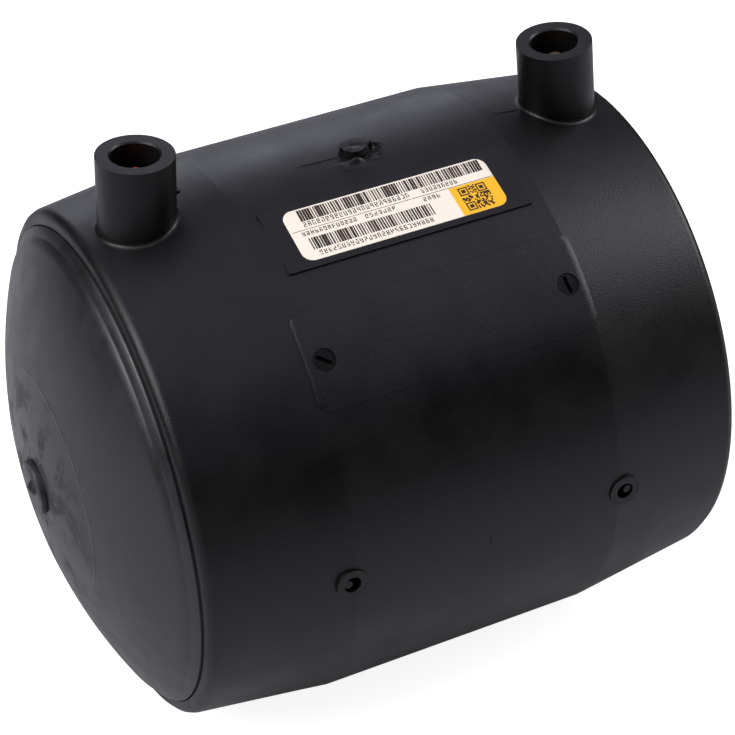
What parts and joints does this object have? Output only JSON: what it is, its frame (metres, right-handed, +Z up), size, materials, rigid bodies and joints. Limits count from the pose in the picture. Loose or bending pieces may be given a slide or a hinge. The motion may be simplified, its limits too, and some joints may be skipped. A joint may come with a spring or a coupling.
{
  "type": "electrofusion end cap",
  "caption": "Short black pipe socket with cones at its ends, terminal shrouds on top, and a domed plug closing one end.",
  "frame": {"origin": "on the bore's axis at the middle of the barrel, at the stop that the pipe is pushed against", "axes": "+X along the bore out of the open mouth, +Z up through the terminal shrouds"},
  "size_m": [0.1646, 0.142, 0.1579],
  "materials": {
    "socket_body": "satin, finely grained",
    "end_plug": "satin, faint turning lines",
    "heating_coil": "satin",
    "terminal_pins": "bright",
    "red_pin_cap": "glossy",
    "barcode_label": "smooth paper"
  },
  "bodies": {
    "root": {"socket_body": "socket_body", "end_plug": "end_plug", "heating_coil": "heating_coil", "terminal_pin_dome_end": "terminal_pins", "terminal_pin_mouth_end": "terminal_pins", "red_pin_cap": "red_pin_cap", "barcode_label": "barcode_label"}
  },
  "joints": []
}
